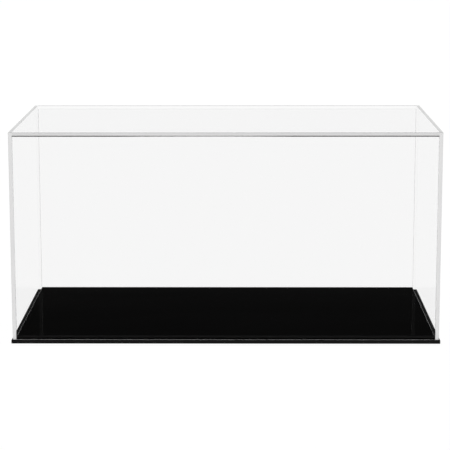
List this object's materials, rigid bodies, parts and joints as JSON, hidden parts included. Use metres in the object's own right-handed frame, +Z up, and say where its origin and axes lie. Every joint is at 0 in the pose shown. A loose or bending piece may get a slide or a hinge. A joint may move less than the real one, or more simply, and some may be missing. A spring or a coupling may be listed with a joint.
{
  "type": "football boot display case",
  "caption": "Clear box cover that lifts straight off a stepped gloss black base, to show a football boot and keep dust off it.",
  "frame": {"origin": "on the surface the case stands on, below the middle of its base", "axes": "+X to the right seen from the front along the longest side, +Y from the front to the back, +Z up, the way the cover lifts"},
  "size_m": [0.3522, 0.1922, 0.176],
  "materials": {
    "clear_acrylic": "polished",
    "gloss_black_acrylic": "gloss",
    "clear_rubber": "satin"
  },
  "bodies": {
    "base": {"base_lower_plate": "gloss_black_acrylic", "base_plinth": "gloss_black_acrylic", "foot_front_left": "clear_rubber", "foot_front_right": "clear_rubber", "foot_back_left": "clear_rubber", "foot_back_right": "clear_rubber"},
    "cover": {"cover_top_panel": "clear_acrylic", "cover_front_panel": "clear_acrylic", "cover_back_panel": "clear_acrylic", "cover_left_panel": "clear_acrylic", "cover_right_panel": "clear_acrylic"}
  },
  "joints": [
    {"name": "cover_lift", "type": "slide", "parent": "base", "child": "cover", "axis": [0, 0, 1], "range_m": [0, 0.18]}
  ]
}
